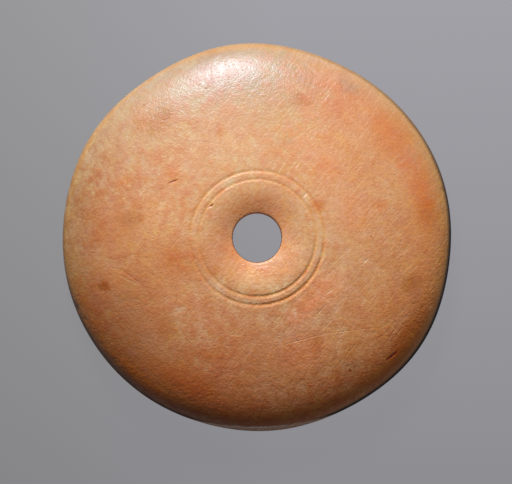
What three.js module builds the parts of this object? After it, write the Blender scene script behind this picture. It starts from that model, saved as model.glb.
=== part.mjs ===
// Spindle whorl of polished bone: a flat-based disc with a low dome, a dish worn round its spindle
// hole, two rings scribed on the crown and a band worn along one side of its rim.
// Millimetres, +Z up. The hole's axis is Z and the flat base lies at z = 0.
import * as THREE from "three";

// Body: a turned disc, widest a little above its flat base.
const WHORL_DIAMETER = 60.0;
const WHORL_HEIGHT = 10.9;
const RIM_HEIGHT = 2.2;
const BASE_SETBACK = 4.0;

// Spindle hole, the rounding of its two mouths and the dish that wear has made on the crown.
const HOLE_DIAMETER = 7.53;
const MOUTH_ROUNDING = 0.35;
const DISH_WIDTH = 3.75;
const DISH_DEPTH = 0.65;

// Two compass-scribed rings. The walls are their widths in plan, from each ring's deepest line.
const INNER_RING_SETBACK = 1.22;
const RING_SPACING = 1.31;
const RING_DEPTH = 0.14;
const INNER_RING_WALLS = { towardsHole: 0.34, towardsRim: 0.42 };
const OUTER_RING_WALLS = { towardsHole: 0.36, towardsRim: 0.40 };

// Band worn along the lower side of the rim: its width in plan, its middle and its reach each way.
const BAND_WIDTH = 0.75;
const BAND_BEARING_DEGREES = -88;
const BAND_REACH_DEGREES = 24;

// The dome and the dish fall away by a power of the way from the crown. The fuller the dome, the
// flatter it stays on its way out and the more suddenly it turns down at the rim.
const DOME_POWER = 1.35;
const DOME_FULLNESS = 2.5;
const DISH_POWER = 2;

// Hand cutting left the outline out of round: lobes, each a share of the radius.
const outlineLobeShares = [
  { lobes: 2, share: 0.0045, bearingDegrees: -10 },
  { lobes: 3, share: 0.0023, bearingDegrees: -24 },
  { lobes: 5, share: 0.0024, bearingDegrees: 26 },
  { lobes: 6, share: 0.0036, bearingDegrees: -30 },
  { lobes: 8, share: 0.0020, bearingDegrees: 10 },
];

// The rings are deepest at one bearing, and handling has worn them nearly away on two sides.
const ringWearShares = { mean: 0.6, once: 0.22, twice: 0.2 };
const RING_DEEPEST_BEARING_DEGREES = -45;

// Facets of the finished surface.
const SEGMENTS = 120;
const RIM_STEPS = 6;
const DOME_STEPS = 15;
const CROWN_STEPS = 3;
const DISH_STEPS = 6;
const MOUTH_STEPS = 4;

// Radii and heights that follow from the sizes above.
const rimRadius = WHORL_DIAMETER / 2;
const holeRadius = HOLE_DIAMETER / 2;
const dishSlope = Math.atan(DISH_POWER * DISH_DEPTH / DISH_WIDTH);
const dishInnerRadius = holeRadius + MOUTH_ROUNDING * (1 - Math.sin(dishSlope));
const crownRadius = dishInnerRadius + DISH_WIDTH;
const innerRingRadius = crownRadius + INNER_RING_SETBACK;
const outerRingRadius = innerRingRadius + RING_SPACING;
const ringedRadius = outerRingRadius + OUTER_RING_WALLS.towardsRim;
const domeRise = WHORL_HEIGHT - RIM_HEIGHT;
const domeWidth = rimRadius - crownRadius;

const innerRing = { radius: innerRingRadius, walls: INNER_RING_WALLS };
const outerRing = { radius: outerRingRadius, walls: OUTER_RING_WALLS };

// Height of the dome, from the crown out to the widest point.
function domeHeight(radius) {
  const way = THREE.MathUtils.clamp((radius - crownRadius) / domeWidth, 0, 1);
  return RIM_HEIGHT + domeRise * (1 - way ** DOME_POWER) ** (1 / DOME_FULLNESS);
}

// Height of the dish, from the crown in to the mouth of the hole.
function dishHeight(radius) {
  const way = (crownRadius - radius) / DISH_WIDTH;
  return WHORL_HEIGHT - DISH_DEPTH * way ** DISH_POWER;
}

// The section through one side, as a closed outline of points (radius, height).
function sectionOutline() {
  const points = [];
  const add = (radius, height) => points.push(new THREE.Vector2(radius, height));

  // Flat base, then the rounded underside of the rim up to the widest point.
  add(holeRadius + MOUTH_ROUNDING, 0);
  for (let step = 0; step < RIM_STEPS; step += 1) {
    const turn = Math.PI / 2 * step / RIM_STEPS;
    add(rimRadius - BASE_SETBACK * (1 - Math.sin(turn)), RIM_HEIGHT * (1 - Math.cos(turn)));
  }

  // Dome from the widest point in to the outer ring, its steps closer together at the rim.
  const ringedWay = (ringedRadius - crownRadius) / domeWidth;
  const ringedTurn = Math.acos(ringedWay ** (DOME_POWER / 2));
  for (let step = 0; step < DOME_STEPS; step += 1) {
    const turn = ringedTurn * step / DOME_STEPS;
    const radius = crownRadius + domeWidth * Math.cos(turn) ** (2 / DOME_POWER);
    add(radius, domeHeight(radius));
  }

  // Two rings: an edge, the deepest line and an edge each. Their depth is cut by scribeRings.
  for (const ring of [outerRing, innerRing]) {
    const { radius, walls } = ring;
    for (const place of [radius + walls.towardsRim, radius, radius - walls.towardsHole]) {
      add(place, domeHeight(place));
    }
  }

  // Crown, dish and the rounded upper mouth.
  const crownEdge = innerRingRadius - INNER_RING_WALLS.towardsHole;
  for (let step = 1; step <= CROWN_STEPS; step += 1) {
    const radius = THREE.MathUtils.lerp(crownEdge, crownRadius, step / CROWN_STEPS);
    add(radius, domeHeight(radius));
  }
  for (let step = 1; step <= DISH_STEPS; step += 1) {
    const radius = crownRadius - DISH_WIDTH * step / DISH_STEPS;
    add(radius, dishHeight(radius));
  }
  const mouthCentre = WHORL_HEIGHT - DISH_DEPTH - MOUTH_ROUNDING * Math.cos(dishSlope);
  for (let step = 1; step <= MOUTH_STEPS; step += 1) {
    const turn = THREE.MathUtils.lerp(dishSlope, Math.PI / 2, step / MOUTH_STEPS);
    add(
      holeRadius + MOUTH_ROUNDING * (1 - Math.sin(turn)),
      mouthCentre + MOUTH_ROUNDING * Math.cos(turn),
    );
  }

  // Down the wall of the hole and round the lower mouth, back to the base.
  for (let step = 0; step <= MOUTH_STEPS; step += 1) {
    const turn = Math.PI / 2 * step / MOUTH_STEPS;
    add(
      holeRadius + MOUTH_ROUNDING * (1 - Math.cos(turn)),
      MOUTH_ROUNDING * (1 - Math.sin(turn)),
    );
  }
  points[points.length - 1].copy(points[0]);
  return points;
}

// Share of a ring's full depth at a radius: a V that is deepest on the ring's own line.
function ringCutShare(ring, radius) {
  const offset = radius - ring.radius;
  const wall = offset > 0 ? ring.walls.towardsRim : ring.walls.towardsHole;
  return Math.max(0, 1 - Math.abs(offset) / wall);
}

// Share of the rings' depth that is left at a bearing.
function ringWearShare(bearing) {
  const turn = bearing - THREE.MathUtils.degToRad(RING_DEEPEST_BEARING_DEGREES);
  return ringWearShares.mean
    + ringWearShares.once * Math.cos(turn)
    + ringWearShares.twice * Math.cos(2 * turn);
}

function scribeRings(point) {
  if (point.height <= RIM_HEIGHT) return;
  const cut = ringCutShare(innerRing, point.radius) + ringCutShare(outerRing, point.radius);
  point.height -= RING_DEPTH * cut * ringWearShare(point.bearing);
}

// The worn band is a steep cone that runs from an arris on the dome down to the widest point.
function wearBand(point) {
  const reach = THREE.MathUtils.degToRad(BAND_REACH_DEGREES);
  const middle = THREE.MathUtils.degToRad(BAND_BEARING_DEGREES);
  const offset = Math.abs(point.bearing - middle);
  if (offset >= reach) return;
  const arrisRadius = rimRadius - BAND_WIDTH * Math.cos(Math.PI / 2 * offset / reach);
  const arrisHeight = domeHeight(arrisRadius);
  const height = Math.max(point.height, RIM_HEIGHT);
  if (height >= arrisHeight) return;
  const way = (height - RIM_HEIGHT) / (arrisHeight - RIM_HEIGHT);
  point.radius = Math.min(point.radius, THREE.MathUtils.lerp(rimRadius, arrisRadius, way));
}

// The lobes grow from nothing at the rings to their full share at the rim.
function loseRoundness(point) {
  const way = (point.radius - ringedRadius) / (rimRadius - ringedRadius);
  const grown = THREE.MathUtils.clamp(way, 0, 1) ** 2;
  let stretch = 0;
  for (const { lobes, share, bearingDegrees } of outlineLobeShares) {
    const turn = point.bearing - THREE.MathUtils.degToRad(bearingDegrees);
    stretch += share * Math.cos(lobes * turn);
  }
  point.radius *= 1 + stretch * grown;
}

function whorlGeometry() {
  const geometry = new THREE.LatheGeometry(sectionOutline(), SEGMENTS);
  geometry.rotateX(Math.PI / 2);
  const positions = geometry.getAttribute("position");
  for (let index = 0; index < positions.count; index += 1) {
    const x = positions.getX(index);
    const y = positions.getY(index);
    const point = {
      radius: Math.hypot(x, y),
      bearing: Math.atan2(y, x),
      height: positions.getZ(index),
    };
    scribeRings(point);
    wearBand(point);
    loseRoundness(point);
    positions.setXYZ(
      index,
      point.radius * Math.cos(point.bearing),
      point.radius * Math.sin(point.bearing),
      point.height,
    );
  }
  geometry.computeVertexNormals();
  return geometry;
}

const polishedBone = new THREE.MeshStandardMaterial({
  color: 0xd6a276,
  roughness: 0.38,
  metalness: 0,
});

const whorl = new THREE.Mesh(whorlGeometry(), polishedBone);
whorl.name = "whorl";

const spindleWhorl = new THREE.Group();
spindleWhorl.add(whorl);

export default spindleWhorl;
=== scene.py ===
"""A spindle whorl of polished bone on a plain floor, seen from straight above."""
import math

import bmesh
import bpy
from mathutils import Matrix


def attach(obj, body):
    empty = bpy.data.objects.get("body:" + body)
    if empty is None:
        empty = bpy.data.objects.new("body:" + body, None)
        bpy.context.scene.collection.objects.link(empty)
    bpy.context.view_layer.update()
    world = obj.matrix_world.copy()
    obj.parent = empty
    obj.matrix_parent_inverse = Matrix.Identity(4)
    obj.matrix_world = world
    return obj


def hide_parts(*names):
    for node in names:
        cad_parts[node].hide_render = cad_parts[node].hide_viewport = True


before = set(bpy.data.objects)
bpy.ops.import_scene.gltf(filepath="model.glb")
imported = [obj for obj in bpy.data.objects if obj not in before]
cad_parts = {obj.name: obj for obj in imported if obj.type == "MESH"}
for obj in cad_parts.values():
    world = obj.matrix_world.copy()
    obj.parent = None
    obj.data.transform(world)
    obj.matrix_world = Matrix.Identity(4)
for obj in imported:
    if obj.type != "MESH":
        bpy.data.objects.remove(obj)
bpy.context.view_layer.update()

MM = 0.001

# Sizes of the whorl, as the construction model has them.
WHORL_DIAMETER = 60.0 * MM
WHORL_HEIGHT = 10.9 * MM
RIM_HEIGHT = 2.2 * MM
BASE_SETBACK = 4.0 * MM
HOLE_DIAMETER = 7.53 * MM
MOUTH_ROUNDING = 0.35 * MM
DISH_WIDTH = 3.75 * MM
DISH_DEPTH = 0.65 * MM
INNER_RING_SETBACK = 1.22 * MM
RING_SPACING = 1.31 * MM
RING_DEPTH = 0.14 * MM
INNER_RING_WALLS = {"towards_hole": 0.34 * MM, "towards_rim": 0.42 * MM}
OUTER_RING_WALLS = {"towards_hole": 0.36 * MM, "towards_rim": 0.40 * MM}
BAND_WIDTH = 0.75 * MM
BAND_BEARING = math.radians(-88)
BAND_REACH = math.radians(24)
DOME_POWER = 1.35
DOME_FULLNESS = 2.5
DISH_POWER = 2.0
OUTLINE_LOBE_SHARES = (
    {"lobes": 2, "share": 0.0045, "bearing": math.radians(-10)},
    {"lobes": 3, "share": 0.0023, "bearing": math.radians(-24)},
    {"lobes": 5, "share": 0.0024, "bearing": math.radians(26)},
    {"lobes": 6, "share": 0.0036, "bearing": math.radians(-30)},
    {"lobes": 8, "share": 0.0020, "bearing": math.radians(10)},
)
OUTLINE_LOBE_POWER = 2.0
RING_WEAR_SHARES = {"mean": 0.6, "once": 0.22, "twice": 0.2}
RING_DEEPEST_BEARING = math.radians(-45)

# What follows from those sizes.
RIM_RADIUS = WHORL_DIAMETER / 2
HOLE_RADIUS = HOLE_DIAMETER / 2
DISH_SLOPE = math.atan(DISH_POWER * DISH_DEPTH / DISH_WIDTH)
CROWN_RADIUS = HOLE_RADIUS + MOUTH_ROUNDING * (1 - math.sin(DISH_SLOPE)) + DISH_WIDTH
INNER_RING_RADIUS = CROWN_RADIUS + INNER_RING_SETBACK
OUTER_RING_RADIUS = INNER_RING_RADIUS + RING_SPACING
RIDGE_RADIUS = (INNER_RING_RADIUS + OUTER_RING_RADIUS) / 2
RINGED_RADIUS = OUTER_RING_RADIUS + OUTER_RING_WALLS["towards_rim"]
DOME_RISE = WHORL_HEIGHT - RIM_HEIGHT
DOME_WIDTH = RIM_RADIUS - CROWN_RADIUS

# Rows and columns of the fine surface: about 0.2 mm apart, and closer together at the rings.
SEGMENTS = 450
BASE_ROWS = 10
UNDERSIDE_ROWS = 12
DOME_ROWS = 112
DOME_STEPS_PER_ROW = 8
RING_ROWS = 42
DISH_ROWS = 20
MOUTH_ROWS = 7
BORE_ROWS = 6
MERGE_DISTANCE = 0.001 * MM

# Traces of hand work: the finished surface wanders by a few hundredths of a millimetre about a
# level a little inside the construction model's. This fades in on the way up to the rim's widest
# point, from a foot given as a share of that height.
SKIN_ALLOWANCE = 0.04 * MM
HAND_WORK_DEPTH = 0.035 * MM
HAND_WORK_SPACING = 7.0 * MM
HAND_WORK_SEED = 7.0
HAND_WORK_FOOT = 0.1
BAND_CHIP_DEPTH = 0.5 * MM
BAND_CHIP_SPACING = 1.3 * MM
BAND_SHOWS_DEPTH = 0.05 * MM

# The middle of a noise texture's values.
NOISE_MIDDLE = 0.5

# The camera looks straight down, with a long lens.
PHOTO_WIDTH, PHOTO_HEIGHT = 512, 484
VIEW_WIDTH = 79.09 * MM
VIEW_CENTRE = (-0.16 * MM, -0.62 * MM)
LENS, SENSOR = 400.0, 36.0
CAMERA_DISTANCE = VIEW_WIDTH * LENS / SENSOR
CLIP_START, CLIP_END = 0.05, 50.0
PIXEL = VIEW_WIDTH / PHOTO_WIDTH

# Slits, flakes and chips cut into the surface: the line they follow in the photograph, how far
# they reach to each side and how deep they are, in millimetres.
CUTS = (
    (((386.0, 360.6), (391.0, 357.0), (397.0, 352.2)), 0.26, 0.070),
    (((169.5, 182.8), (173.5, 182.0), (177.5, 180.2)), 0.28, 0.060),
    (((209.8, 206.6), (212.8, 204.4)), 0.30, 0.080),
    (((211.5, 210.5), (216.5, 213.5)), 0.55, 0.040),
    (((112.5, 268.8), (119.5, 269.6), (126.0, 272.4), (133.0, 276.8), (143.0, 284.2)), 0.36, 0.040),
    (((303.4, 197.0), (307.8, 192.6)), 0.34, 0.060),
    (((313.0, 319.0), (328.0, 303.7)), 0.26, 0.030),
    (((76.0, 305.0), (78.6, 311.5)), 0.42, 0.160),
    (((84.0, 318.0), (87.0, 321.5)), 0.36, 0.120),
    (((441.5, 188.5), (443.5, 191.0)), 0.36, 0.120),
)
CUT_POINT_SPACING = 0.08 * MM
LEAST_CUT_POINTS = 2

# A cut's depth follows an arch along its line. It starts this share of the arch in from each end,
# and the power makes the arch blunt.
CUT_ARCH_START = 0.08
CUT_ARCH_POWER = 0.6

# Single scratches and pits: their two ends in the photograph, half their width and their depth in
# millimetres, and how much more or less stain they hold than the bone round them.
MARKS = (
    ((386.6, 360.2), (397.2, 351.6), 0.18, 0.040, 3.20),
    ((168.0, 183.6), (178.0, 179.4), 0.15, 0.040, 2.20),
    ((208.6, 207.6), (213.6, 204.2), 0.18, 0.030, 1.60),
    ((309.5, 201.5), (319.0, 194.0), 0.12, 0.022, 0.60),
    ((122.0, 270.0), (146.0, 287.5), 0.12, 0.020, 0.45),
    ((114.0, 273.0), (141.0, 286.0), 0.20, 0.012, -0.25),
    ((106.0, 267.6), (121.0, 269.0), 0.15, 0.012, -0.15),
    ((303.0, 197.2), (308.0, 191.8), 0.18, 0.012, -0.45),
    ((295.0, 168.0), (300.0, 163.0), 0.15, 0.020, -0.35),
    ((322.5, 173.0), (328.0, 169.5), 0.15, 0.020, -0.30),
    ((350.0, 172.0), (361.0, 160.5), 0.12, 0.018, -0.10),
    ((353.0, 173.5), (364.0, 163.0), 0.12, 0.018, -0.10),
    ((361.0, 265.5), (370.5, 256.5), 0.13, 0.018, -0.35),
    ((333.0, 264.0), (353.0, 246.0), 0.13, 0.012, -0.15),
    ((315.0, 317.5), (328.5, 302.0), 0.12, 0.020, -0.30),
    ((324.0, 295.5), (333.0, 289.5), 0.14, 0.018, -0.40),
    ((318.0, 334.5), (338.0, 314.0), 0.12, 0.016, -0.15),
    ((283.0, 345.0), (328.0, 333.0), 0.13, 0.018, -0.25),
    ((324.0, 333.6), (380.0, 327.6), 0.12, 0.014, -0.15),
    ((345.5, 356.0), (359.0, 340.5), 0.13, 0.016, -0.10),
    ((383.5, 346.5), (399.5, 323.0), 0.13, 0.016, -0.10),
    ((388.5, 347.0), (403.5, 326.0), 0.13, 0.016, -0.10),
    ((393.0, 349.5), (403.0, 336.0), 0.12, 0.016, 0.10),
    ((376.0, 276.0), (381.0, 272.5), 0.16, 0.016, -0.30),
    ((429.0, 308.5), (433.0, 304.5), 0.16, 0.016, -0.50),
    ((297.0, 263.5), (305.5, 256.5), 0.13, 0.018, -0.20),
    ((140.0, 108.0), (149.0, 101.5), 0.14, 0.018, 0.35),
    ((162.5, 121.0), (171.0, 117.5), 0.16, 0.016, 0.35),
    ((172.0, 171.5), (180.0, 169.0), 0.16, 0.014, -0.25),
    ((151.0, 197.0), (167.0, 184.5), 0.45, 0.004, 0.22),
    ((204.5, 89.5), (207.5, 88.5), 0.24, 0.020, 0.60),
    ((212.5, 82.6), (214.5, 81.6), 0.20, 0.020, 0.55),
    ((346.5, 366.4), (348.5, 365.6), 0.22, 0.020, 0.70),
    ((349.0, 371.0), (351.5, 370.4), 0.28, 0.030, 2.00),
    ((370.2, 236.8), (372.4, 236.2), 0.22, 0.020, 0.60),
    ((359.4, 307.6), (361.0, 307.0), 0.20, 0.020, 0.50),
    ((297.4, 244.2), (300.2, 243.0), 0.16, 0.018, 0.60),
)

# Shares of a mark's half length between which it fades out.
MARK_FADE = (0.35, 1.15)

# What each scribed ring and worn band leaves on the surface for the bone's colours to follow.
TRACES = ("ring_share", "band_share")

# Colours of the bone where it has soaked up a middling amount of stain: two ends of equal
# lightness, and the yellower edge of the rim. Then the worn band, dull and pale where chips lay the
# bone bare, the pale chips also being painted glints, and the painted shade round the rim's widest
# point.
BONE_PALE = "#B6A075"
BONE_RICH = "#E58C57"
BONE_HONEY = "#CF9F5C"
BAND_DULL = "#D6976C"
BAND_BARED_GLINT = "#FACDA8"
RIM_SHADE_COLOUR = "#2B1D10"

# The bone's look is three values, always in this order: how dense the stain is, how rich its colour
# is and how yellow it is. It starts from these, and all the gains below are added to them.
BASE_LOOK = (0.98, 0.57, -0.02)

# The bone's markings: name, size of the largest marks, octaves below it, how strong each octave is
# against the one above, seed, and the gains in the look.
BONE_FIELDS = (
    ("patches", 9.0 * MM, 3.0, 0.55, 1.0, (0.40, 0.07, -0.15)),
    ("clouds", 1.7 * MM, 3.0, 0.75, 4.0, (1.00, 0.12, -0.35)),
    ("grain", 0.50 * MM, 2.0, 0.90, 9.0, (0.55, 0.00, 0.10)),
    ("tint", 2.4 * MM, 4.0, 0.95, 13.0, (0.00, 0.20, 1.15)),
)

# Handling has stained the bone more towards the rim, and painted shade makes the rim's lower side
# darker, richer and yellower. Each of these sets in between two radii, and gives the gains in the
# look: the part that is even all round, and what is added at the right and at the top of the rim,
# and taken away at the left and at the bottom. The parts for the top are the painted shade, and the
# second set is painted shade alone.
PATINA_AND_PAINTED_SHADE = (
    {"from": 15.5 * MM, "to": 29.4 * MM, "even": (0.43, -0.14, -0.05),
     "right": (-0.17, 0.10, 0.14), "up": (-0.09, -0.18, -0.12)},
    {"from": 24.0 * MM, "to": 27.0 * MM, "even": (0.08, 0.00, 0.00),
     "right": (0.00, 0.00, 0.00), "up": (-0.09, 0.00, 0.00)},
    {"from": 26.5 * MM, "to": 29.4 * MM, "even": (-0.08, -0.06, 0.18),
     "right": (0.04, -0.04, 0.04), "up": (-0.03, -0.10, -0.34)},
)
HONEY_EDGE = {"from": 28.9 * MM, "to": 29.5 * MM, "share": 0.45}

# Painted shade darkens the rim below a height, most at the bottom and the right: its share is given
# as even, right and up as above.
RIM_SHADE_PAINT = {"from": 4.6 * MM, "to": 3.8 * MM, "even": 0.55, "right": 0.42, "up": -0.45}

# Values that grow across the disc in one direction of the plan, from least to most between two
# distances from the hole's axis: how strong the clouds of stain are, how much of the scratches and
# scraping is left, how sharp the grain's relief is and how uneven the whole surface is.
CLOUDED = {"way": (-0.5, -1.0), "from": -8 * MM, "to": 14 * MM, "least": -0.25, "most": 0.50}
WORKED = {"way": (0.9, 0.45), "from": -8 * MM, "to": 18 * MM, "least": 0.45, "most": 1.15}
GRAINED = {"way": (0.9, 0.45), "from": 11 * MM, "to": 20 * MM, "least": 4.9, "most": 8.5}
UNEVEN = {"way": (-0.5, -1.0), "from": -24 * MM, "to": 12 * MM, "least": 0.90, "most": 1.65}

# Scratches lie in families: the way they run in degrees, their length, how far apart they lie, the
# share of the places that has one, and a seed. Each fills its cell from a core out to an edge.
SCRATCHES = (
    {"turn": 48, "length": 11.0 * MM, "spacing": 0.60 * MM, "share": 0.55, "seed": 0.0},
    {"turn": 58, "length": 8.0 * MM, "spacing": 0.65 * MM, "share": 0.35, "seed": 3.0},
    {"turn": 38, "length": 9.0 * MM, "spacing": 0.75 * MM, "share": 0.35, "seed": 6.0},
    {"turn": -42, "length": 9.0 * MM, "spacing": 0.95 * MM, "share": 0.25, "seed": 9.0},
)
SCRATCH_CORE, SCRATCH_EDGE = 0.06, 0.32
SCRAPING = {"turn": 47, "length": 3.0 * MM, "width": 0.36 * MM}

# Patches of the bone, from worn smooth to freshly worked, by the value of the patches' noise.
WORKED_PATCHES = {"from": -0.15, "to": 0.20, "least": 0.40, "most": 1.00}

PORE_SPACING = 0.55 * MM
PORE_CORE, PORE_EDGE = 0.08, 0.30
OPEN_PORE_SHARE = 0.5

# Gains in the look, or in its density alone: on the rings, in the rings' grooves, on the ridge
# between them, in open pores and in the families of scratches.
RING_GAINS = (0.00, 0.12, 0.28)
GROOVE = {"from": 0.30, "to": 0.80, "denser": 0.05}
RIDGE = {"from": 0.30 * MM, "to": 0.60 * MM, "denser": -0.05}
PORE_DENSER = 0.10
SCRATCH_DENSER = -0.15

# The worn band's chips, whose pale colour is bare bone and also painted glints: their size, and the
# noise's values between which they bare the bone.
BAND_CHIP_GLINTS = {"size": 0.5 * MM, "from": 0.34, "to": 0.58}

# The fine relief's unit, and how many units each layer adds to it. Then the roughness of the bone,
# and what each layer adds to that.
RELIEF_UNIT = 0.010 * MM
RELIEF_GAINS = {"clouds": 6.0, "pores": -0.8, "scratches": -0.8, "scraping": 0.7}
BASE_ROUGHNESS = 0.38
ROUGHNESS_GAINS = {"clouds": 0.25, "pores": 0.25, "band": -0.20, "rim_shade": 0.45}

# Over which distance stains wander from their places, how far, and how ragged their edges are.
WANDER_SIZE = 3.0 * MM
WANDER_REACH = 1.2 * MM
STAIN_RAGGEDNESS = 2.4

# Stains: the middle in the photograph, half the length and half the width in millimetres, the turn
# of the length in degrees, and the gains in the look.
STAINS = (
    ((257, 237), (11.0, 11.0), 0, (-0.08, -0.10, 0.06)),
    ((225, 130), (14.0, 9.0), 20, (0.03, -0.13, -0.04)),
    ((140, 120), (13.0, 7.0), 45, (-0.18, -0.08, 0.03)),
    ((225, 72), (12.0, 5.0), 8, (0.16, -0.12, -0.06)),
    ((345, 95), (9.0, 5.0), -32, (0.08, 0.04, -0.08)),
    ((350, 87), (2.0, 1.2), -35, (0.12, -0.15, -0.18)),
    ((75, 232), (4.0, 9.0), 0, (-0.06, -0.08, -0.01)),
    ((200, 340), (13.0, 8.0), -30, (0.12, 0.06, -0.05)),
    ((110, 320), (5.0, 9.0), 35, (0.21, -0.05, -0.07)),
    ((300, 400), (14.0, 4.0), 12, (-0.03, 0.00, -0.06)),
    ((228, 238), (3.0, 4.2), -10, (0.20, 0.06, -0.11)),
    ((257, 207), (4.5, 2.6), 0, (0.20, 0.15, -0.09)),
    ((286, 246), (2.4, 4.0), 20, (0.00, 0.20, -0.05)),
    ((255, 272), (5.0, 1.8), 0, (0.16, 0.12, -0.02)),
    ((238, 254), (1.5, 3.0), 40, (0.08, 0.12, 0.05)),
    ((262, 282), (6.0, 1.4), 0, (-0.10, 0.00, 0.00)),
    ((276, 222), (2.2, 3.2), -45, (0.02, 0.16, 0.00)),
    ((262, 317), (5.5, 1.6), 0, (-0.05, 0.00, 0.00)),
    ((302, 312), (3.0, 1.8), 40, (0.02, 0.24, -0.10)),
    ((418, 180), (2.6, 5.0), 20, (0.20, 0.16, 0.04)),
    ((394, 136), (3.4, 4.4), 40, (0.18, 0.11, 0.02)),
    ((428, 213), (1.8, 2.4), 0, (0.22, 0.00, 0.12)),
    ((352, 212), (3.2, 3.2), 0, (0.09, 0.10, -0.03)),
    ((322, 290), (3.6, 2.6), 40, (-0.05, 0.30, -0.06)),
    ((300, 352), (4.6, 3.2), 20, (0.06, 0.22, -0.08)),
    ((138, 290), (3.4, 3.0), 0, (0.13, -0.03, -0.02)),
    ((300, 100), (1.5, 1.3), 0, (0.17, -0.02, -0.01)),
    ((220, 130), (0.8, 1.1), 0, (0.22, 0.08, 0.02)),
    ((288, 141), (1.3, 1.0), 0, (0.10, -0.05, -0.03)),
    ((105, 286), (0.9, 0.8), 0, (0.55, 0.00, 0.10)),
    ((318, 205), (1.6, 1.2), 30, (0.34, 0.09, -0.03)),
    ((158, 122), (3.2, 2.2), 35, (0.30, 0.06, 0.04)),
    ((166, 156), (3.4, 1.6), 15, (0.07, 0.10, 0.04)),
    ((130, 219), (1.8, 1.5), 0, (0.27, -0.08, 0.01)),
    ((184, 259), (4.5, 3.0), 0, (0.22, 0.06, -0.08)),
    ((412, 283), (1.8, 1.3), 30, (0.34, -0.14, -0.01)),
    ((350, 368), (1.6, 1.3), 30, (0.04, -0.13, -0.08)),
    ((411, 334), (7.0, 1.7), 58, (0.36, 0.00, 0.08)),
    ((184, 380), (7.0, 2.0), -30, (0.16, 0.06, 0.05)),
    ((366, 318), (8.0, 5.0), 45, (-0.06, 0.08, 0.06)),
    ((158, 262), (7.0, 5.0), -20, (0.09, -0.03, 0.05)),
    ((428, 245), (4.0, 9.0), 0, (-0.02, 0.10, 0.12)),
    ((407, 161), (2.4, 2.8), 30, (-0.05, -0.05, -0.14)),
    ((150, 390), (9.0, 1.2), -45, (-0.04, 0.14, 0.12)),
    ((275, 95), (7.0, 6.0), 0, (0.00, -0.10, 0.02)),
    ((150, 330), (8.0, 5.5), -30, (0.00, -0.10, 0.00)),
    ((167, 114), (1.4, 0.9), 20, (0.16, 0.00, 0.05)),
    ((140, 121), (1.3, 1.6), 0, (0.12, 0.08, 0.00)),
    ((172, 172), (1.5, 1.2), 30, (0.06, 0.10, 0.00)),
    ((141, 217), (0.7, 0.7), 0, (0.24, 0.00, 0.00)),
    ((125, 180), (1.6, 0.9), 30, (0.12, 0.12, 0.08)),
    ((106, 228), (4.0, 3.0), -40, (0.10, 0.04, 0.00)),
    ((380, 204), (1.2, 0.8), 0, (0.18, 0.12, 0.05)),
    ((327, 168), (2.0, 2.4), 30, (0.08, 0.10, -0.05)),
    ((305, 100), (1.4, 1.2), 0, (0.12, 0.10, 0.00)),
    ((215, 271), (1.2, 0.9), 30, (0.22, 0.05, 0.05)),
    ((166, 326), (1.5, 2.0), 20, (0.20, 0.00, 0.00)),
    ((218, 355), (2.4, 1.0), 10, (0.18, 0.02, 0.00)),
)

# Shares of a stain's half width between which it fades out.
STAIN_FADE = (0.35, 1.35)

# The floor is a large matt board. Its colours are given as (left, right), and shade from one to the
# other between these places: painted shade, which makes it darker towards the bottom and the left.
# Its own paleness is the share of its colour that shows without light, and its darkness is how much
# darker than that colour the rest is, which is lit.
FLOOR_SIZE = 4.0
FLOOR_GAP = 0.02 * MM
FLOOR_TOP = ("#989799", "#A2A1A7")
FLOOR_BOTTOM = ("#878789", "#8F8E93")
FLOOR_SHADES = {"left": -39 * MM, "right": 2 * MM, "top": 37 * MM, "bottom": -37 * MM}
FLOOR_OWN_PALENESS = 0.95
FLOOR_DARKNESS = 0.15
ROOM_LIGHT = 0.05

# Sockets of a mix node that mixes colours. Their names are also those of its sockets for numbers.
SHARE, FIRST, SECOND, MIXED = 0, 6, 7, 2

# The kinds of node that are used most.
MATH, VECTOR_MATH = "ShaderNodeMath", "ShaderNodeVectorMath"
MAP_RANGE, MIX = "ShaderNodeMapRange", "ShaderNodeMix"


def node(tree, kind, sockets=(), output=0, **settings):
    """Adds a node with its settings and links, and returns one of its output sockets."""
    made = tree.nodes.new(kind)
    for name, value in settings.items():
        setattr(made, name, value)
    pairs = sockets.items() if isinstance(sockets, dict) else enumerate(sockets)
    for key, value in pairs:
        if isinstance(value, bpy.types.NodeSocket):
            tree.links.new(value, made.inputs[key])
        else:
            made.inputs[key].default_value = value
    return made.outputs[output] if made.outputs else None


def shader_tree(owner):
    """The emptied node tree of a new material or world."""
    owner.use_nodes = True
    owner.node_tree.nodes.clear()
    return owner.node_tree


def add_object(name, data):
    """A new object in the scene, at the origin."""
    made = bpy.data.objects.new(name, data)
    bpy.context.scene.collection.objects.link(made)
    return made


def linear(hex_colour):
    """An sRGB hex colour as linear RGBA."""
    channels = [int(hex_colour[i:i + 2], 16) / 255 for i in (1, 3, 5)]
    return [c / 12.92 if c <= 0.04045 else ((c + 0.055) / 1.055) ** 2.4 for c in channels] + [1.0]


# The section through one side

def dome_height(radius):
    """Height of the dome at a radius between the crown and the rim."""
    way = min(max((radius - CROWN_RADIUS) / DOME_WIDTH, 0.0), 1.0)
    return RIM_HEIGHT + DOME_RISE * (1 - way ** DOME_POWER) ** (1 / DOME_FULLNESS)


def dish_height(radius):
    """Height of the worn dish at a radius between the hole's mouth and the crown."""
    way = (CROWN_RADIUS - radius) / DISH_WIDTH
    return WHORL_HEIGHT - DISH_DEPTH * way ** DISH_POWER


def photo_place(px, py):
    """Where a pixel of the photograph lies on the dome, as x and y in metres."""
    x = (px - PHOTO_WIDTH / 2) * PIXEL + VIEW_CENTRE[0]
    y = (PHOTO_HEIGHT / 2 - py) * PIXEL + VIEW_CENTRE[1]
    nearer = (dome_height(math.hypot(x, y)) - RIM_HEIGHT) / CAMERA_DISTANCE
    return x - (x - VIEW_CENTRE[0]) * nearer, y - (y - VIEW_CENTRE[1]) * nearer


def between(start, end, count):
    """Count even steps from start towards end, without the end itself."""
    return [start + (end - start) * step / count for step in range(count)]


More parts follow.
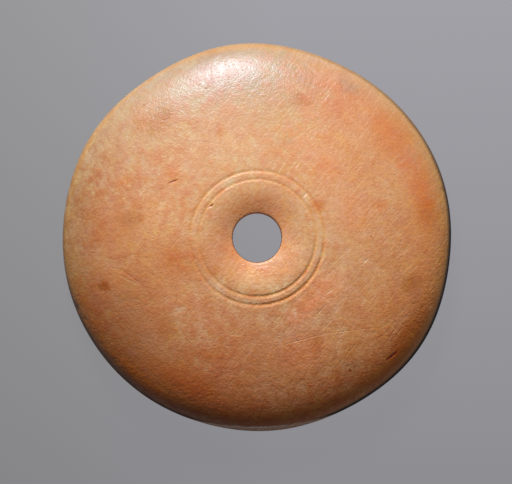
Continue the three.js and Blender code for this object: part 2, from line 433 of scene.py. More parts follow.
def dome_stretch():
    """The dome from the widest point in to the rings, its rows evenly spaced along the surface."""
    ringed_way = (RINGED_RADIUS - CROWN_RADIUS) / DOME_WIDTH
    ringed_turn = math.acos(ringed_way ** (DOME_POWER / 2))
    fine = []
    for turn in between(0.0, ringed_turn, DOME_ROWS * DOME_STEPS_PER_ROW) + [ringed_turn]:
        radius = CROWN_RADIUS + DOME_WIDTH * math.cos(turn) ** (2 / DOME_POWER)
        fine.append((radius, dome_height(radius)))
    reach = [0.0]
    for before, after in zip(fine, fine[1:]):
        reach.append(reach[-1] + math.dist(before, after))
    rows, at = [], 0
    for wanted in between(0.0, reach[-1], DOME_ROWS):
        while reach[at + 1] < wanted:
            at += 1
        way = (wanted - reach[at]) / (reach[at + 1] - reach[at])
        rows.append(tuple(a + (b - a) * way for a, b in zip(fine[at], fine[at + 1])))
    return rows


def section_outline():
    """The closed section through one side, as (radius, height) points."""
    right_angle = math.pi / 2
    rows = [(radius, 0.0) for radius in
            between(HOLE_RADIUS + MOUTH_ROUNDING, RIM_RADIUS - BASE_SETBACK, BASE_ROWS)]
    rows += [(RIM_RADIUS - BASE_SETBACK * (1 - math.sin(turn)), RIM_HEIGHT * (1 - math.cos(turn)))
             for turn in between(0.0, right_angle, UNDERSIDE_ROWS)]
    rows += dome_stretch()
    rows += [(radius, dome_height(radius))
             for radius in between(RINGED_RADIUS, CROWN_RADIUS, RING_ROWS)]
    dish_end = CROWN_RADIUS - DISH_WIDTH
    rows += [(radius, dish_height(radius)) for radius in between(CROWN_RADIUS, dish_end, DISH_ROWS)]
    mouth_centre = WHORL_HEIGHT - DISH_DEPTH - MOUTH_ROUNDING * math.cos(DISH_SLOPE)
    rows += [(HOLE_RADIUS + MOUTH_ROUNDING * (1 - math.sin(turn)),
              mouth_centre + MOUTH_ROUNDING * math.cos(turn))
             for turn in between(DISH_SLOPE, right_angle, MOUTH_ROWS)]
    rows += [(HOLE_RADIUS, height) for height in between(mouth_centre, MOUTH_ROUNDING, BORE_ROWS)]
    rows += [(HOLE_RADIUS + MOUTH_ROUNDING * (1 - math.cos(turn)),
              MOUTH_ROUNDING * (1 - math.sin(turn)))
             for turn in between(0.0, right_angle, MOUTH_ROWS)]
    return rows


# The turned, scribed and worn body

def section_points(rows):
    """An object of loose points, one for each row, with the first repeated to close the section."""
    mesh = bpy.data.meshes.new("section")
    mesh.from_pydata([(radius, 0.0, height) for radius, height in rows + rows[:1]], [], [])
    return add_object("section", mesh)


def cut_points():
    """An object of points closely spaced along the cuts, each with its reach and depth."""
    places, traces = [], {"reach": [], "depth": []}
    for line_px, reach, depth in CUTS:
        line = [photo_place(*pixel) for pixel in line_px]
        lengths = [math.dist(a, b) for a, b in zip(line, line[1:])]
        done = 0.0
        for a, b, length in zip(line, line[1:], lengths):
            count = max(LEAST_CUT_POINTS, round(length / CUT_POINT_SPACING))
            for way in between(0.0, 1.0, count):
                along = (done + way * length) / sum(lengths)
                arch = math.sin(math.pi * (CUT_ARCH_START + (1 - 2 * CUT_ARCH_START) * along))
                places.append((a[0] + (b[0] - a[0]) * way, a[1] + (b[1] - a[1]) * way, 0.0))
                traces["reach"].append(reach * MM)
                traces["depth"].append(depth * MM * arch ** CUT_ARCH_POWER)
            done += length
    mesh = bpy.data.meshes.new("cut_points")
    mesh.from_pydata(places, [], [])
    for name, values in traces.items():
        mesh.attributes.new(name, "FLOAT", "POINT").data.foreach_set("value", values)
    return add_object("cut_points", mesh)


def ring_share(tree, radius, ring_radius, walls):
    """Share of a scribed ring's full depth at a radius."""
    offset = node(tree, MATH, (radius, ring_radius), operation="SUBTRACT")
    outside = node(tree, MATH, (offset, 0.0), operation="GREATER_THAN")
    wall = node(tree, MIX,
                {"Factor": outside, "A": walls["towards_hole"], "B": walls["towards_rim"]})
    away = node(tree, MATH, (offset,), operation="ABSOLUTE")
    way = node(tree, MATH, (away, wall), operation="DIVIDE")
    return node(tree, MAP_RANGE, (way, 0.0, 1.0, 1.0, 0.0))


def rings_share(tree, bearing, radius, height):
    """Share of both rings' full depth: deepest at one bearing, nearly worn away on two sides."""
    turn = node(tree, MATH, (bearing, RING_DEEPEST_BEARING), operation="SUBTRACT")
    once = node(tree, MATH, (turn,), operation="COSINE")
    twice = node(tree, MATH, (turn, 2.0), operation="MULTIPLY")
    twice = node(tree, MATH, (twice,), operation="COSINE")
    left = node(tree, MATH, (once, RING_WEAR_SHARES["once"], RING_WEAR_SHARES["mean"]),
                operation="MULTIPLY_ADD")
    left = node(tree, MATH, (twice, RING_WEAR_SHARES["twice"], left), operation="MULTIPLY_ADD")
    inner = ring_share(tree, radius, INNER_RING_RADIUS, INNER_RING_WALLS)
    outer = ring_share(tree, radius, OUTER_RING_RADIUS, OUTER_RING_WALLS)
    scribed = node(tree, MATH, (inner, outer), operation="ADD")
    scribed = node(tree, MATH, (scribed, left), operation="MULTIPLY")
    on_dome = node(tree, MATH, (height, RIM_HEIGHT), operation="GREATER_THAN")
    return node(tree, MATH, (scribed, on_dome), operation="MULTIPLY")


def band_cut(tree, given, bearing, radius, height):
    """How far the worn band cuts the rim back: a steep cone below an arris that chips have made
    uneven."""
    from_middle = node(tree, MATH, (bearing, math.tau + BAND_BEARING), operation="SUBTRACT")
    from_middle = node(tree, MATH, (from_middle,), operation="ABSOLUTE")
    quarter = node(tree, MAP_RANGE, (from_middle, 0.0, BAND_REACH, 0.0, math.pi / 2))
    worn = node(tree, MATH, (quarter,), operation="COSINE")
    along = node(tree, MATH, (bearing, RIM_RADIUS / BAND_CHIP_SPACING), operation="MULTIPLY")
    chips = node(tree, "ShaderNodeTexNoise", {"W": along, "Scale": 1.0, "Detail": 3.0},
                 noise_dimensions="1D")
    chips = node(tree, MATH, (chips, NOISE_MIDDLE), operation="SUBTRACT")
    chips = node(tree, MATH, (chips, given["Chip depth"]), operation="MULTIPLY")
    width = node(tree, MATH, (given["Band width"], chips), operation="ADD")
    width = node(tree, MATH, (width, worn), operation="MULTIPLY")

    # The arris lies on the dome, so its height follows from the dome's curve.
    arris = node(tree, MATH, (RIM_RADIUS, width), operation="SUBTRACT")
    way = node(tree, MAP_RANGE, (arris, CROWN_RADIUS, RIM_RADIUS, 0.0, 1.0))
    way = node(tree, MATH, (way, DOME_POWER), operation="POWER")
    way = node(tree, MATH, (1.0, way), operation="SUBTRACT")
    way = node(tree, MATH, (way, 1 / DOME_FULLNESS), operation="POWER")
    arris_height = node(tree, MATH, (way, DOME_RISE, RIM_HEIGHT), operation="MULTIPLY_ADD")
    above_rim = node(tree, MATH, (height, RIM_HEIGHT), operation="MAXIMUM")
    fall = node(tree, MATH, (arris_height, above_rim), operation="SUBTRACT")
    band_radius = node(tree, MAP_RANGE, (above_rim, arris_height, RIM_HEIGHT, arris, RIM_RADIUS))
    cut_back = node(tree, MATH, (radius, band_radius), operation="MINIMUM")
    below_arris = node(tree, MATH, (fall, 0.0), operation="GREATER_THAN")
    taken = node(tree, MATH, (radius, cut_back), operation="SUBTRACT")
    return node(tree, MATH, (taken, below_arris), operation="MULTIPLY")


def outline_stretch(tree, bearing, radius):
    """The hand-cut outline's lobes, which grow from nothing at the rings to their full share."""
    stretch = 0.0
    for lobe in OUTLINE_LOBE_SHARES:
        turn = node(tree, MATH, (bearing, lobe["bearing"]), operation="SUBTRACT")
        turn = node(tree, MATH, (turn, float(lobe["lobes"])), operation="MULTIPLY")
        wave = node(tree, MATH, (turn,), operation="COSINE")
        stretch = node(tree, MATH, (wave, lobe["share"], stretch), operation="MULTIPLY_ADD")
    grown = node(tree, MAP_RANGE, (radius, RINGED_RADIUS, RIM_RADIUS, 0.0, 1.0))
    grown = node(tree, MATH, (grown, OUTLINE_LOBE_POWER), operation="POWER")
    return node(tree, MATH, (stretch, grown, 1.0), operation="MULTIPLY_ADD")


def hand_work(tree, given, place, level):
    """How far scraping has left the surface from its true form. The flat base stays flat."""
    off_base = node(tree, MAP_RANGE,
                    (level["Z"], HAND_WORK_FOOT * RIM_HEIGHT, RIM_HEIGHT, 0.0, 1.0),
                    interpolation_type="SMOOTHSTEP")
    hand = node(tree, "ShaderNodeTexNoise",
                {"Vector": place, "W": given["Seed"], "Scale": 1 / HAND_WORK_SPACING,
                 "Detail": 2.0}, noise_dimensions="4D")
    hand = node(tree, MATH, (hand, NOISE_MIDDLE), operation="SUBTRACT")
    hand = node(tree, MATH, (hand, given["Hand work depth"]), operation="MULTIPLY")
    move = node(tree, MATH, (hand, given["Skin allowance"]), operation="SUBTRACT")
    return node(tree, MATH, (move, off_base), operation="MULTIPLY")


def cut_depth(tree, given, place, level):
    """How deep slits, flakes and chips sink the surface near the points that lie along them."""
    cuts = node(tree, "GeometryNodeObjectInfo", {"Object": given["Cut points"]}, output="Geometry")
    plan = node(tree, "ShaderNodeCombineXYZ", (level["X"], level["Y"], 0.0))
    nearest = node(tree, "GeometryNodeSampleNearest", {"Geometry": cuts, "Sample Position": plan})
    cut_place = node(tree, "GeometryNodeSampleIndex",
                     {"Geometry": cuts, "Value": place, "Index": nearest}, data_type="FLOAT_VECTOR")
    carried = {}
    for name in ("reach", "depth"):
        value = node(tree, "GeometryNodeInputNamedAttribute", {"Name": name})
        carried[name] = node(tree, "GeometryNodeSampleIndex",
                             {"Geometry": cuts, "Value": value, "Index": nearest},
                             data_type="FLOAT")
    away = node(tree, VECTOR_MATH, (plan, cut_place), output="Value", operation="DISTANCE")
    way = node(tree, MATH, (away, carried["reach"]), operation="DIVIDE")
    share = node(tree, MAP_RANGE, (way, 0.0, 1.0, 1.0, 0.0), interpolation_type="SMOOTHSTEP")
    above = node(tree, MATH, (level["Z"], RIM_HEIGHT), operation="GREATER_THAN")
    share = node(tree, MATH, (share, above), operation="MULTIPLY")
    return node(tree, MATH, (share, carried["depth"]), operation="MULTIPLY")


TREE_INPUTS = {
    "Segments": ("NodeSocketInt", SEGMENTS),
    "Ring depth": ("NodeSocketFloat", RING_DEPTH),
    "Band width": ("NodeSocketFloat", BAND_WIDTH),
    "Chip depth": ("NodeSocketFloat", BAND_CHIP_DEPTH),
    "Hand work depth": ("NodeSocketFloat", HAND_WORK_DEPTH),
    "Skin allowance": ("NodeSocketFloat", SKIN_ALLOWANCE),
    "Seed": ("NodeSocketFloat", HAND_WORK_SEED),
}


def whorl_tree(row_count, bone):
    """Turns the section round the hole's axis, then scribes, wears and marks the surface."""
    tree = bpy.data.node_groups.new("turned_and_worn_disc", "GeometryNodeTree")
    tree.interface.new_socket("Section", in_out="INPUT", socket_type="NodeSocketGeometry")
    for name, (kind, _) in TREE_INPUTS.items():
        tree.interface.new_socket(name, in_out="INPUT", socket_type=kind)
    tree.interface.new_socket("Cut points", in_out="INPUT", socket_type="NodeSocketObject")
    tree.interface.new_socket("Whorl", in_out="OUTPUT", socket_type="NodeSocketGeometry")
    given = tree.nodes.new("NodeGroupInput").outputs

    # Each column of a grid stands at its own bearing and each row at its own place in the section.
    columns = node(tree, MATH, (given["Segments"], 1.0), operation="ADD")
    body = node(tree, "GeometryNodeMeshGrid", {"Vertices X": columns, "Vertices Y": row_count})
    index = node(tree, "GeometryNodeInputIndex")
    row = node(tree, MATH, (index, float(row_count)), operation="MODULO")
    column = node(tree, MATH, (index, float(row_count)), operation="DIVIDE")
    column = node(tree, MATH, (column,), operation="FLOOR")
    step = node(tree, MATH, (math.tau, given["Segments"]), operation="DIVIDE")
    bearing = node(tree, MATH, (column, step), operation="MULTIPLY")
    place = node(tree, "GeometryNodeInputPosition")
    in_section = node(tree, "GeometryNodeSampleIndex",
                      {"Geometry": given["Section"], "Value": place, "Index": row},
                      data_type="FLOAT_VECTOR", domain="POINT")
    section = node(tree, "ShaderNodeSeparateXYZ", (in_section,)).node.outputs
    radius, height = section["X"], section["Z"]

    scribed = rings_share(tree, bearing, radius, height)
    sunk = node(tree, MATH, (scribed, given["Ring depth"]), operation="MULTIPLY")
    height = node(tree, MATH, (height, sunk), operation="SUBTRACT")
    taken = band_cut(tree, given, bearing, radius, height)
    radius = node(tree, MATH, (radius, taken), operation="SUBTRACT")
    banded = node(tree, MAP_RANGE, (taken, 0.0, BAND_SHOWS_DEPTH, 0.0, 1.0))
    stretch = outline_stretch(tree, bearing, radius)
    radius = node(tree, MATH, (radius, stretch), operation="MULTIPLY")

    flat = node(tree, "ShaderNodeCombineXYZ", (radius, 0.0, height))
    turned = node(tree, "ShaderNodeVectorRotate", {"Vector": flat, "Angle": bearing},
                  rotation_type="Z_AXIS")
    for name, value in zip(TRACES, (scribed, banded)):
        body = node(tree, "GeometryNodeStoreNamedAttribute",
                    {"Geometry": body, "Name": name, "Value": value}, data_type="FLOAT",
                    domain="POINT")
    body = node(tree, "GeometryNodeSetPosition", {"Geometry": body, "Position": turned})
    body = node(tree, "GeometryNodeMergeByDistance", {"Geometry": body, "Distance": MERGE_DISTANCE})

    level = node(tree, "ShaderNodeSeparateXYZ", (place,)).node.outputs
    move = hand_work(tree, given, place, level)
    sunk = cut_depth(tree, given, place, level)
    move = node(tree, MATH, (move, sunk), operation="SUBTRACT")
    outward = node(tree, "GeometryNodeInputNormal")
    offset = node(tree, VECTOR_MATH, {"Vector": outward, "Scale": move}, operation="SCALE")
    body = node(tree, "GeometryNodeSetPosition", {"Geometry": body, "Offset": offset})
    body = node(tree, "GeometryNodeSetShadeSmooth", {"Geometry": body})
    body = node(tree, "GeometryNodeRealizeInstances", {"Geometry": body})
    body = node(tree, "GeometryNodeSetMaterial", {"Geometry": body, "Material": bone})
    node(tree, "NodeGroupOutput", (body,))
    return tree


def make_whorl(bone):
    """Evaluates the body once, and keeps it as a plain closed mesh."""
    rows = section_outline()
    section, cuts = section_points(rows), cut_points()
    tree = whorl_tree(len(rows) + 1, bone)
    turning = section.modifiers.new("turning", "NODES")
    turning.node_group = tree
    given = {name: value for name, (_, value) in TREE_INPUTS.items()}
    given["Cut points"] = cuts
    for socket in tree.interface.items_tree:
        if socket.in_out == "INPUT" and socket.name in given:
            turning[socket.identifier] = given[socket.name]
    depsgraph = bpy.context.evaluated_depsgraph_get()
    mesh = bpy.data.meshes.new_from_object(section.evaluated_get(depsgraph), depsgraph=depsgraph)
    section.modifiers.clear()
    bpy.data.objects.remove(section)
    bpy.data.objects.remove(cuts)

    closed = bmesh.new()
    closed.from_mesh(mesh)
    bmesh.ops.remove_doubles(closed, verts=closed.verts, dist=MERGE_DISTANCE)
    bmesh.ops.recalc_face_normals(closed, faces=closed.faces)
    closed.to_mesh(mesh)
    closed.free()
    mesh.name = "whorl_bone"
    whorl = add_object("whorl_bone", mesh)
    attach(whorl, "root")
    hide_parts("whorl")


# The bone

def across_disc(tree, plan, even, right, up):
    """A value that is even all round and gains towards the right and the top of the rim."""
    gain = node(tree, VECTOR_MATH, (plan, (right / RIM_RADIUS, up / RIM_RADIUS, 0.0)),
                output="Value", operation="DOT_PRODUCT")
    return node(tree, MATH, (gain, even), operation="ADD")


def growing(tree, plan, growth):
    """A value that grows across the disc in one direction."""
    along = node(tree, VECTOR_MATH, (plan, (*growth["way"], 0.0)), output="Value",
                 operation="DOT_PRODUCT")
    return node(tree, MAP_RANGE,
                (along, growth["from"], growth["to"], growth["least"], growth["most"]))


def with_gains(tree, share, gains, look):
    """The bone's look with a share of each gain added."""
    return [node(tree, MATH, (share, gain, value), operation="MULTIPLY_ADD")
            for gain, value in zip(gains, look)]


def with_layers(tree, value, gains, layers):
    """A value to which each named layer has added its gain."""
    for name, gain in gains.items():
        value = node(tree, MATH, (layers[name], gain, value), operation="MULTIPLY_ADD")
    return value


def mark_share(tree, plan, ends_px, half_width):
    """Share of a single scratch's full depth: deepest on its line and fading at its ends."""
    start, end = (photo_place(*pixel) for pixel in ends_px)
    half_length = math.dist(start, end) / 2
    middle = ((start[0] + end[0]) / 2, (start[1] + end[1]) / 2)
    along = ((end[0] - start[0]) / 2 / half_length, (end[1] - start[1]) / 2 / half_length)
    away = []
    for way, half in ((along, half_length), ((-along[1], along[0]), half_width)):
        reach = node(tree, VECTOR_MATH, (plan, (way[0] / half, way[1] / half, 0.0)),
                     output="Value", operation="DOT_PRODUCT")
        middle_reach = (middle[0] * way[0] + middle[1] * way[1]) / half
        reach = node(tree, MATH, (reach, middle_reach), operation="SUBTRACT")
        away.append(node(tree, MATH, (reach,), operation="ABSOLUTE"))
    lengthwise = node(tree, MAP_RANGE, (away[0], *MARK_FADE, 1.0, 0.0))
    across = node(tree, MAP_RANGE, (away[1], 0.0, 1.0, 1.0, 0.0))
    return node(tree, MATH, (lengthwise, across), operation="MULTIPLY")


def stain_share(tree, wandering, ragged, at_px, halves, turn):
    """Share of a stain's full strength: an oval with a wandering, ragged edge."""
    near = node(tree, "ShaderNodeMapping",
                {"Vector": wandering, "Location": (*photo_place(*at_px), 0.0),
                 "Rotation": (0.0, 0.0, math.radians(turn)),
                 "Scale": (halves[0] * MM, halves[1] * MM, 1.0)}, vector_type="TEXTURE")
    near = node(tree, VECTOR_MATH, (near, (1.0, 1.0, 0.0)), operation="MULTIPLY")
    near = node(tree, VECTOR_MATH, (near,), output="Value", operation="LENGTH")
    near = node(tree, MATH, (near, ragged), operation="ADD")
    return node(tree, MAP_RANGE, (near, *STAIN_FADE, 1.0, 0.0), interpolation_type="SMOOTHSTEP")


def scratches(tree, plan, family):
    """Thin cuts that all lie one way, each a stretched cell, as a share of their depth."""
    laid = node(tree, "ShaderNodeMapping",
                {"Vector": plan, "Location": (family["seed"] * MM, 0.0, 0.0),
                 "Rotation": (0.0, 0.0, math.radians(family["turn"])),
                 "Scale": (family["length"], family["spacing"], 1.0)}, vector_type="TEXTURE")
    cell = node(tree, "ShaderNodeTexVoronoi", {"Vector": laid, "Scale": 1.0},
                voronoi_dimensions="2D").node.outputs
    cut = node(tree, MAP_RANGE, (cell["Distance"], SCRATCH_CORE, SCRATCH_EDGE, 1.0, 0.0))
    chance = node(tree, "ShaderNodeSeparateColor", (cell["Color"],))
    kept = node(tree, MATH, (chance, family["share"]), operation="LESS_THAN")
    return node(tree, MATH, (cut, kept), operation="MULTIPLY")


def handled_and_shaded_look(tree, plan, radius, field):
    """The look that the bone's own markings and long handling have given it, with painted shade on
    the rim's lower side.
    """
    density, rich, yellow = BASE_LOOK
    density = node(tree, MATH, (growing(tree, plan, CLOUDED), field["clouds"], density),
                   operation="MULTIPLY_ADD")
    look = (density, rich, yellow)
    for name, *_, gains in BONE_FIELDS:
        look = with_gains(tree, field[name], gains, look)
    for patina_and_shade in PATINA_AND_PAINTED_SHADE:
        share = node(tree, MAP_RANGE, (radius, patina_and_shade["from"], patina_and_shade["to"], 0.0, 1.0))
        gains = [across_disc(tree, plan, *parts)
                 for parts in zip(patina_and_shade["even"], patina_and_shade["right"], patina_and_shade["up"])]
        look = with_gains(tree, share, gains, look)
    return look


def marks_layer(tree, plan):
    """The stain that single scratches and pits hold, and the relief they leave."""
    marked = (0.0, 0.0, 0.0)
    for *ends_px, half_width, depth, stain in MARKS:
        share = mark_share(tree, plan, ends_px, half_width * MM)
        share = node(tree, "ShaderNodeCombineXYZ", (share, share, share))
        gain = (stain, -depth * MM / RELIEF_UNIT, 0.0)
        marked = node(tree, VECTOR_MATH, (share, gain, marked), operation="MULTIPLY_ADD")
    held, relief, _ = node(tree, "ShaderNodeSeparateXYZ", (marked,)).node.outputs
    return held, relief


def stained_look(tree, wandering, ragged, look):
    """The look with all the stains in it."""
    stained = node(tree, "ShaderNodeCombineXYZ", look)
    for at_px, halves, turn, gains in STAINS:
        share = stain_share(tree, wandering, ragged, at_px, halves, turn)
        share = node(tree, "ShaderNodeCombineXYZ", (share, share, share))
        stained = node(tree, VECTOR_MATH, (share, gains, stained), operation="MULTIPLY_ADD")
    return node(tree, "ShaderNodeSeparateXYZ", (stained,)).node.outputs


def working_traces(tree, plan, field):
    """The families of scratches and the scraping beneath them, where handling has left them."""
    scratched = 0.0
    for family in SCRATCHES:
        scratched = node(tree, MATH, (scratches(tree, plan, family), scratched),
                         operation="MAXIMUM")
    worked = node(tree, MAP_RANGE, (field["patches"], *WORKED_PATCHES.values()))
    worked = node(tree, MATH, (worked, growing(tree, plan, WORKED)), operation="MULTIPLY")
    scratched = node(tree, MATH, (scratched, worked), operation="MULTIPLY")
    laid = node(tree, "ShaderNodeMapping",
                {"Vector": plan, "Rotation": (0.0, 0.0, math.radians(SCRAPING["turn"])),
                 "Scale": (SCRAPING["length"], SCRAPING["width"], 1.0)}, vector_type="TEXTURE")
    scraping = node(tree, "ShaderNodeTexNoise", {"Vector": laid, "Scale": 1.0, "Detail": 2.0},
                    noise_dimensions="2D")
    scraping = node(tree, MATH, (scraping, NOISE_MIDDLE), operation="SUBTRACT")
    return scratched, node(tree, MATH, (scraping, worked), operation="MULTIPLY")


def open_pores(tree, place):
    """The bone's pores, about half of them open, as a share of their depth."""
    cell = node(tree, "ShaderNodeTexVoronoi",
                {"Vector": place, "Scale": 1 / PORE_SPACING}).node.outputs
    pore = node(tree, MAP_RANGE, (cell["Distance"], PORE_CORE, PORE_EDGE, 1.0, 0.0))
    chance = node(tree, "ShaderNodeSeparateColor", (cell["Color"],))
    is_open = node(tree, MATH, (chance, OPEN_PORE_SHARE), operation="LESS_THAN")
    return node(tree, MATH, (pore, is_open), operation="MULTIPLY")


def look_colour(tree, look, radius):
    """The colour of bone with this look, yellower at the edge of the rim."""
    density, rich, yellow = look
    colour = node(tree, MIX, {SHARE: rich, FIRST: linear(BONE_PALE), SECOND: linear(BONE_RICH)},
                  output=MIXED, data_type="RGBA")
    blue = node(tree, MATH, (1.0, yellow), operation="SUBTRACT")
    tint = node(tree, "ShaderNodeCombineColor", (1.0, 1.0, blue))
    colour = node(tree, MIX, {SHARE: 1.0, FIRST: colour, SECOND: tint},
                  output=MIXED, data_type="RGBA", blend_type="MULTIPLY")
    edge = node(tree, MAP_RANGE,
                (radius, HONEY_EDGE["from"], HONEY_EDGE["to"], 0.0, HONEY_EDGE["share"]))
    colour = node(tree, MIX, {SHARE: edge, FIRST: colour, SECOND: linear(BONE_HONEY)},
                  output=MIXED, data_type="RGBA")
    return node(tree, "ShaderNodeGamma", (colour, density))


def polished_bone():
    """Dense bone, turned and scraped, then polished by handling and stained by the ground: a
    waxy, mottled tan with open pores and hundreds of fine scratches that catch the light."""
    bone = bpy.data.materials.new("polished_bone")
    tree = shader_tree(bone)
    place = node(tree, "ShaderNodeTexCoord", output="Object")
    axes = node(tree, "ShaderNodeSeparateXYZ", (place,)).node.outputs
    plan = node(tree, "ShaderNodeCombineXYZ", (axes["X"], axes["Y"], 0.0))
    radius = node(tree, VECTOR_MATH, (plan,), output="Value", operation="LENGTH")

    # Stains wander a little, so that none has a drawn edge.
    wander = node(tree, "ShaderNodeTexNoise",
                  {"Vector": place, "Scale": 1 / WANDER_SIZE, "Detail": 5.0, "Roughness": 0.85},
                  output="Color")
    wander = node(tree, VECTOR_MATH, (wander, (NOISE_MIDDLE,) * 3), operation="SUBTRACT")
    wandering = node(tree, VECTOR_MATH,
                     (wander, (2 * WANDER_REACH,) * 3, plan), operation="MULTIPLY_ADD")

    field = {}
    for name, size, detail, roughness, seed, _ in BONE_FIELDS:
        noise = node(tree, "ShaderNodeTexNoise",
                     {"Vector": place, "W": seed, "Scale": 1 / size, "Detail": detail,
                      "Roughness": roughness}, noise_dimensions="4D")
        field[name] = node(tree, MATH, (noise, NOISE_MIDDLE), operation="SUBTRACT")
    density, rich, yellow = handled_and_shaded_look(tree, plan, radius, field)
    ragged = node(tree, MATH, (field["clouds"], STAIN_RAGGEDNESS), operation="MULTIPLY")

    # The render engine can only hold so many values at once for one material, and past that the
    # bone renders black. So the marks come before the stains, and each chain adds up as it goes.
    held, relief = marks_layer(tree, plan)
    density = node(tree, MATH, (density, held), operation="ADD")
    density, rich, yellow = stained_look(tree, wandering, ragged, (density, rich, yellow))
    scratched, scraping = working_traces(tree, plan, field)

    # The rings' grooves have kept more stain, and the ridge between them is rubbed paler.
    traces = {name: node(tree, "ShaderNodeAttribute", output="Fac", attribute_name=name)
              for name in TRACES}
    density, rich, yellow = with_gains(tree, traces["ring_share"], RING_GAINS,
                                       (density, rich, yellow))
    away = node(tree, MATH, (radius, RIDGE_RADIUS), operation="SUBTRACT")
    away = node(tree, MATH, (away,), operation="ABSOLUTE")
    ridge = node(tree, MAP_RANGE, (away, RIDGE["from"], RIDGE["to"], RIDGE["denser"], 0.0))
    density = node(tree, MATH, (density, ridge), operation="ADD")
    pore = open_pores(tree, place)
    density = node(tree, MATH, (pore, PORE_DENSER, density), operation="MULTIPLY_ADD")
    density = node(tree, MATH, (scratched, SCRATCH_DENSER, density), operation="MULTIPLY_ADD")
    groove = node(tree, MAP_RANGE,
                  (traces["ring_share"], GROOVE["from"], GROOVE["to"], 0.0, GROOVE["denser"]))
    density = node(tree, MATH, (density, groove), operation="ADD")
    colour = look_colour(tree, (density, rich, yellow), radius)

    # Painted shade darkens the rim round its widest point, most at the bottom and the right, and
    # chips in the worn band bare the bone, their pale colour also painted glints.
    low = node(tree, MAP_RANGE, (axes["Z"], RIM_SHADE_PAINT["from"], RIM_SHADE_PAINT["to"], 0.0, 1.0))
    rim_shade_share = across_disc(tree, plan, RIM_SHADE_PAINT["even"], RIM_SHADE_PAINT["right"], RIM_SHADE_PAINT["up"])
    rim_shade_share = node(tree, MATH, (low, rim_shade_share), operation="MULTIPLY")
    colour = node(tree, MIX, {SHARE: rim_shade_share, FIRST: colour, SECOND: linear(RIM_SHADE_COLOUR)},
                  output=MIXED, data_type="RGBA")
    # The worn band's pale chips: bare bone, and painted glints.
    chip_glint_share = node(tree, "ShaderNodeTexNoise",
                   {"Vector": place, "Scale": 1 / BAND_CHIP_GLINTS["size"], "Detail": 2.0})
    chip_glint_share = node(tree, MAP_RANGE, (chip_glint_share, BAND_CHIP_GLINTS["from"], BAND_CHIP_GLINTS["to"], 0.0, 1.0))
    band_chips_and_glints = node(tree, MIX, {SHARE: chip_glint_share, FIRST: linear(BAND_DULL), SECOND: linear(BAND_BARED_GLINT)},
                 output=MIXED, data_type="RGBA")
    colour = node(tree, MIX, {SHARE: traces["band_share"], FIRST: colour, SECOND: band_chips_and_glints},
                  output=MIXED, data_type="RGBA")

    layers = {"clouds": field["clouds"], "pores": pore, "scratches": scratched,
              "scraping": scraping, "band": traces["band_share"], "rim_shade": rim_shade_share}
    relief = node(tree, MATH, (field["grain"], growing(tree, plan, GRAINED), relief),
                  operation="MULTIPLY_ADD")
    relief = with_layers(tree, relief, RELIEF_GAINS, layers)
    relief = node(tree, MATH, (relief, growing(tree, plan, UNEVEN)), operation="MULTIPLY")
    normal = node(tree, "ShaderNodeBump",
                  {"Height": relief, "Distance": RELIEF_UNIT, "Strength": 1.0})
    rough = with_layers(tree, BASE_ROUGHNESS, ROUGHNESS_GAINS, layers)
    skin = node(tree, "ShaderNodeBsdfPrincipled",
                {"Base Color": colour, "Roughness": rough, "IOR": 1.54, "Specular IOR Level": 0.49,
                 "Specular Tint": (0.66, 0.82, 1.0, 1.0), "Normal": normal})
    node(tree, "ShaderNodeOutputMaterial", {"Surface": skin})
    return bone


# The floor, the lamps and the camera

def grey_board():
    """Matt grey card: smooth and even, with painted shade that makes it a little darker towards the
    bottom and the left.
    """
    board = bpy.data.materials.new("grey_board")
    tree = shader_tree(board)
    place = node(tree, "ShaderNodeTexCoord", output="Object")
    axes = node(tree, "ShaderNodeSeparateXYZ", (place,)).node.outputs
    right = node(tree, MAP_RANGE,
                 (axes["X"], FLOOR_SHADES["left"], FLOOR_SHADES["right"], 0.0, 1.0))
    lower = node(tree, MAP_RANGE,
                 (axes["Y"], FLOOR_SHADES["top"], FLOOR_SHADES["bottom"], 0.0, 1.0))
    top, bottom = (node(tree, MIX,
                        {SHARE: right, FIRST: linear(pair[0]), SECOND: linear(pair[1])},
                        output=MIXED, data_type="RGBA") for pair in (FLOOR_TOP, FLOOR_BOTTOM))
    colour = node(tree, MIX, {SHARE: lower, FIRST: top, SECOND: bottom},
                  output=MIXED, data_type="RGBA")

    # The camera, gloss and glass see its own paleness. All else meets a lit board.
    rays = node(tree, "ShaderNodeLightPath").node.outputs
    dark = node(tree, MIX, {SHARE: FLOOR_DARKNESS, FIRST: colour, SECOND: (0.0, 0.0, 0.0, 1.0)},
                output=MIXED, data_type="RGBA")
    lit = node(tree, "ShaderNodeBsdfDiffuse", {"Color": dark})
    own = node(tree, "ShaderNodeEmission", {"Color": colour, "Strength": 1.0})
    seen = node(tree, MATH, (rays["Is Camera Ray"], rays["Is Glossy Ray"]), operation="MAXIMUM")
    seen = node(tree, MATH, (seen, rays["Is Transmission Ray"]), operation="MAXIMUM")
    share = node(tree, MATH, (seen, FLOOR_OWN_PALENESS), operation="MULTIPLY")
    node(tree, "ShaderNodeOutputMaterial",
         {"Surface": node(tree, "ShaderNodeMixShader", (share, lit, own))})
    return board


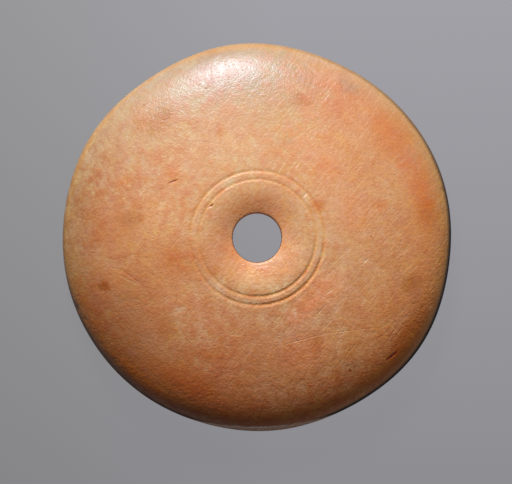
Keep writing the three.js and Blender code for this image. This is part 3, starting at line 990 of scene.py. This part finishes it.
def make_floor():
    """A flat board just under the whorl, which keeps a soft shadow of it."""
    half = FLOOR_SIZE / 2
    mesh = bpy.data.meshes.new("floor")
    mesh.from_pydata([(-half, -half, -FLOOR_GAP), (half, -half, -FLOOR_GAP),
                      (half, half, -FLOOR_GAP), (-half, half, -FLOOR_GAP)], [], [(0, 1, 2, 3)])
    mesh.materials.append(grey_board())
    add_object("floor", mesh)


def make_lamp(name, bearing, from_vertical, distance, size, watts):
    """A round soft lamp that shines on the crown from a bearing and a lean, both in degrees."""
    turn, lean = math.radians(bearing), math.radians(from_vertical)
    light = bpy.data.lights.new(name, "AREA")
    light.shape, light.size, light.energy = "DISK", size, watts
    lamp = add_object(name, light)
    lamp.location = (distance * math.sin(lean) * math.cos(turn),
                     distance * math.sin(lean) * math.sin(turn), distance * math.cos(lean))
    lamp.rotation_euler = (0.0, lean, turn)


def light_room():
    """A dim even room. Only the camera sees it as pale as the floor, in views from low down: in the
    gloss a pale room would grey the rim's shaded side."""
    world = bpy.data.worlds.new("dim_room")
    bpy.context.scene.world = world
    tree = shader_tree(world)
    rays = node(tree, "ShaderNodeLightPath").node.outputs
    dim = node(tree, "ShaderNodeBackground",
               {"Color": (1.0, 1.0, 1.0, 1.0), "Strength": ROOM_LIGHT})
    pale = node(tree, "ShaderNodeBackground", {"Color": linear(FLOOR_TOP[1]), "Strength": 1.0})
    node(tree, "ShaderNodeOutputWorld",
         {"Surface": node(tree, "ShaderNodeMixShader", (rays["Is Camera Ray"], dim, pale))})


def make_camera():
    """A camera straight above, as in the photograph."""
    lens = bpy.data.cameras.new("camera")
    lens.lens, lens.sensor_width, lens.sensor_fit = LENS, SENSOR, "HORIZONTAL"
    lens.clip_start, lens.clip_end = CLIP_START, CLIP_END
    camera = add_object("camera", lens)
    camera.location = (*VIEW_CENTRE, RIM_HEIGHT + CAMERA_DISTANCE)
    bpy.context.scene.camera = camera
    bpy.context.scene.view_settings.view_transform = "Standard"


make_camera()
make_whorl(polished_bone())
make_floor()
make_lamp("window_lamp", bearing=101, from_vertical=55.5, distance=0.6, size=0.20, watts=6.0)
make_lamp("fill_lamp", bearing=5, from_vertical=66, distance=0.6, size=0.5, watts=0.45)
light_room()
